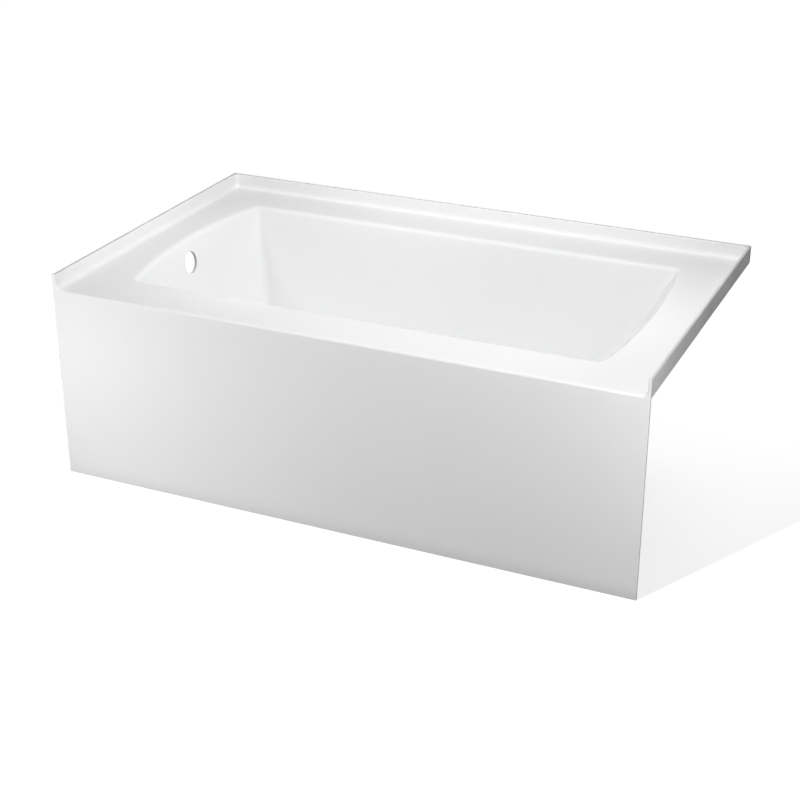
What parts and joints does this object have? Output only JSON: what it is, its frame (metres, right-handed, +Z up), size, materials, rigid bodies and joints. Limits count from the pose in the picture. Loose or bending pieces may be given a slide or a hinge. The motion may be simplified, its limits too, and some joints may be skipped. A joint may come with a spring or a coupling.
{
  "type": "alcove bathtub",
  "caption": "Rectangular alcove bathtub with a flat apron, a tile flange on three sides, drain and overflow holes at the left end, and levelling feet.",
  "frame": {"origin": "on the floor, under the middle of the tub", "axes": "+X along the tub away from the drain end, -Y the way the apron faces, +Z up"},
  "size_m": [1.524, 0.914, 0.547],
  "materials": {
    "white_acrylic": "gloss white acrylic sheet",
    "grey_fibreglass": "sprayed fibreglass, rough and slightly translucent",
    "sawn_wood": "sawn softwood",
    "plywood": "birch plywood",
    "galvanised_steel": "galvanised",
    "zinc_plate": "bright zinc plate",
    "black_plastic": "moulded, fine texture"
  },
  "bodies": {
    "root": {"acrylic_shell": "white_acrylic", "fibreglass_laminate": "grey_fibreglass", "front_rim_batten": "sawn_wood", "back_rim_batten": "sawn_wood", "drain_end_batten": "sawn_wood", "backrest_end_batten": "sawn_wood", "drain_end_stiffener": "sawn_wood", "middle_stiffener": "sawn_wood", "backrest_end_stiffener": "sawn_wood", "apron_kick_batten": "sawn_wood", "bottom_board": "plywood", "drain_end_rail": "galvanised_steel", "drain_end_bracket": "galvanised_steel", "backrest_end_rail": "galvanised_steel", "backrest_end_bracket": "galvanised_steel", "rail_caps": "black_plastic", "rail_screws": "zinc_plate", "bracket_wood_screws": "zinc_plate", "bracket_rail_screws": "zinc_plate", "rail_nuts": "zinc_plate"},
    "front_drain_foot_pad": {"front_drain_foot_pad": "black_plastic"},
    "front_drain_foot_stem": {"front_drain_foot_stem": "zinc_plate"},
    "front_drain_washer": {"front_drain_washer": "zinc_plate"},
    "front_drain_lock_nut": {"front_drain_lock_nut": "zinc_plate"},
    "back_drain_foot_pad": {"back_drain_foot_pad": "black_plastic"},
    "back_drain_foot_stem": {"back_drain_foot_stem": "zinc_plate"},
    "back_drain_washer": {"back_drain_washer": "zinc_plate"},
    "back_drain_lock_nut": {"back_drain_lock_nut": "zinc_plate"},
    "front_backrest_foot_pad": {"front_backrest_foot_pad": "black_plastic"},
    "front_backrest_foot_stem": {"front_backrest_foot_stem": "zinc_plate"},
    "front_backrest_washer": {"front_backrest_washer": "zinc_plate"},
    "front_backrest_lock_nut": {"front_backrest_lock_nut": "zinc_plate"},
    "back_backrest_foot_pad": {"back_backrest_foot_pad": "black_plastic"},
    "back_backrest_foot_stem": {"back_backrest_foot_stem": "zinc_plate"},
    "back_backrest_washer": {"back_backrest_washer": "zinc_plate"},
    "back_backrest_lock_nut": {"back_backrest_lock_nut": "zinc_plate"}
  },
  "joints": [
    {"name": "front_drain_foot_height", "type": "slide", "parent": "root", "child": "front_drain_foot_pad", "axis": [0, 0, -1], "range_m": [-0.005, 0.014]},
    {"name": "front_drain_foot_turn", "type": "hinge", "parent": "front_drain_foot_pad", "child": "front_drain_foot_stem", "pos_m": [-0.292, -0.33, 0.05], "axis": [0, 0, -1], "range_deg": [-1029, 2881]},
    {"name": "front_drain_nut_travel", "type": "slide", "parent": "root", "child": "front_drain_washer", "axis": [0, 0, -1], "range_m": [0, 0.01]},
    {"name": "front_drain_nut_turn", "type": "hinge", "parent": "front_drain_washer", "child": "front_drain_lock_nut", "pos_m": [-0.292, -0.33, 0.066], "axis": [0, 0, -1], "range_deg": [0, 2058]},
    {"name": "back_drain_foot_height", "type": "slide", "parent": "root", "child": "back_drain_foot_pad", "axis": [0, 0, -1], "range_m": [-0.005, 0.014]},
    {"name": "back_drain_foot_turn", "type": "hinge", "parent": "back_drain_foot_pad", "child": "back_drain_foot_stem", "pos_m": [-0.292, 0.33, 0.05], "axis": [0, 0, -1], "range_deg": [-1029, 2881]},
    {"name": "back_drain_nut_travel", "type": "slide", "parent": "root", "child": "back_drain_washer", "axis": [0, 0, -1], "range_m": [0, 0.01]},
    {"name": "back_drain_nut_turn", "type": "hinge", "parent": "back_drain_washer", "child": "back_drain_lock_nut", "pos_m": [-0.292, 0.33, 0.066], "axis": [0, 0, -1], "range_deg": [0, 2058]},
    {"name": "front_backrest_foot_height", "type": "slide", "parent": "root", "child": "front_backrest_foot_pad", "axis": [0, 0, -1], "range_m": [-0.005, 0.014]},
    {"name": "front_backrest_foot_turn", "type": "hinge", "parent": "front_backrest_foot_pad", "child": "front_backrest_foot_stem", "pos_m": [0.268, -0.33, 0.05], "axis": [0, 0, -1], "range_deg": [-1029, 2881]},
    {"name": "front_backrest_nut_travel", "type": "slide", "parent": "root", "child": "front_backrest_washer", "axis": [0, 0, -1], "range_m": [0, 0.01]},
    {"name": "front_backrest_nut_turn", "type": "hinge", "parent": "front_backrest_washer", "child": "front_backrest_lock_nut", "pos_m": [0.268, -0.33, 0.066], "axis": [0, 0, -1], "range_deg": [0, 2058]},
    {"name": "back_backrest_foot_height", "type": "slide", "parent": "root", "child": "back_backrest_foot_pad", "axis": [0, 0, -1], "range_m": [-0.005, 0.014]},
    {"name": "back_backrest_foot_turn", "type": "hinge", "parent": "back_backrest_foot_pad", "child": "back_backrest_foot_stem", "pos_m": [0.268, 0.33, 0.05], "axis": [0, 0, -1], "range_deg": [-1029, 2881]},
    {"name": "back_backrest_nut_travel", "type": "slide", "parent": "root", "child": "back_backrest_washer", "axis": [0, 0, -1], "range_m": [0, 0.01]},
    {"name": "back_backrest_nut_turn", "type": "hinge", "parent": "back_backrest_washer", "child": "back_backrest_lock_nut", "pos_m": [0.268, 0.33, 0.066], "axis": [0, 0, -1], "range_deg": [0, 2058]}
  ],
  "couplings": [
    {"joint": "front_drain_foot_turn", "follows": "front_drain_foot_height", "rad_per_m": 3590.4},
    {"joint": "front_drain_nut_turn", "follows": "front_drain_nut_travel", "rad_per_m": 3590.4},
    {"joint": "back_drain_foot_turn", "follows": "back_drain_foot_height", "rad_per_m": 3590.4},
    {"joint": "back_drain_nut_turn", "follows": "back_drain_nut_travel", "rad_per_m": 3590.4},
    {"joint": "front_backrest_foot_turn", "follows": "front_backrest_foot_height", "rad_per_m": 3590.4},
    {"joint": "front_backrest_nut_turn", "follows": "front_backrest_nut_travel", "rad_per_m": 3590.4},
    {"joint": "back_backrest_foot_turn", "follows": "back_backrest_foot_height", "rad_per_m": 3590.4},
    {"joint": "back_backrest_nut_turn", "follows": "back_backrest_nut_travel", "rad_per_m": 3590.4}
  ]
}
